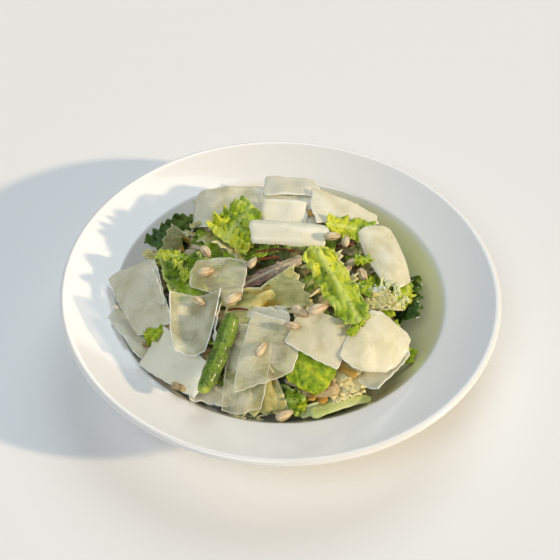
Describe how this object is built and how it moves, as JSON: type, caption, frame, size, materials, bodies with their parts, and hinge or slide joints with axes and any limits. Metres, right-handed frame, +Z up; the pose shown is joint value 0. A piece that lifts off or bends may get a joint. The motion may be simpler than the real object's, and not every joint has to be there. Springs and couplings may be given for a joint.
{
  "type": "chicken pasta salad",
  "caption": "Chicken pasta salad with lettuce, bow pasta, hard cheese shavings and pine nuts, heaped in a wide-rimmed round plate.",
  "frame": {"origin": "middle of the ring the plate stands on, on the table", "axes": "+Z up along the plate's axis, +X to the eater's right, +Y away from the eater"},
  "size_m": [0.27, 0.27, 0.0837],
  "materials": {
    "porcelain": "glossy cream glaze",
    "parmesan": "satin, slightly translucent pale cheese",
    "lettuce": "satin yellow-green leaf",
    "dark_leaf": "satin dark green leaf",
    "radicchio": "satin purple-red leaf",
    "pasta": "oiled pale yellow",
    "pine_nut": "satin toasted cream",
    "green_bean": "glossy cooked green",
    "chicken": "fibrous tan",
    "salad": "oiled olive green"
  },
  "bodies": {
    "root": {"chicken_front": "chicken", "chicken_left": "chicken", "dark_leaf_back_left": "dark_leaf", "dark_leaf_front": "dark_leaf", "dark_leaf_right": "dark_leaf", "green_bean": "green_bean", "lettuce_back": "lettuce", "lettuce_back_right": "lettuce", "lettuce_centre": "lettuce", "lettuce_front": "lettuce", "lettuce_left": "lettuce", "lettuce_rib_front": "lettuce", "lettuce_right": "lettuce", "lettuce_tip_right": "lettuce", "parmesan_back": "parmesan", "parmesan_back_left": "parmesan", "parmesan_back_right": "parmesan", "parmesan_centre_right": "parmesan", "parmesan_front": "parmesan", "parmesan_front_left": "parmesan", "parmesan_front_low": "parmesan", "parmesan_left": "parmesan", "parmesan_left_cup": "parmesan", "parmesan_middle_left": "parmesan", "parmesan_right": "parmesan", "parmesan_right_front": "parmesan", "parmesan_top_back": "parmesan", "parmesan_top_roll": "parmesan", "pasta_bow_back_left": "pasta", "pasta_bow_back_right": "pasta", "pasta_bow_centre": "pasta", "pasta_bow_front": "pasta", "pasta_bow_left": "pasta", "pasta_bow_right": "pasta", "pine_nut_01": "pine_nut", "pine_nut_02": "pine_nut", "pine_nut_03": "pine_nut", "pine_nut_04": "pine_nut", "pine_nut_05": "pine_nut", "pine_nut_06": "pine_nut", "pine_nut_07": "pine_nut", "pine_nut_08": "pine_nut", "pine_nut_09": "pine_nut", "pine_nut_10": "pine_nut", "pine_nut_11": "pine_nut", "pine_nut_12": "pine_nut", "pine_nut_13": "pine_nut", "pine_nut_14": "pine_nut", "pine_nut_15": "pine_nut", "plate": "porcelain", "radicchio_centre": "radicchio", "salad_heap": "salad"}
  },
  "joints": []
}
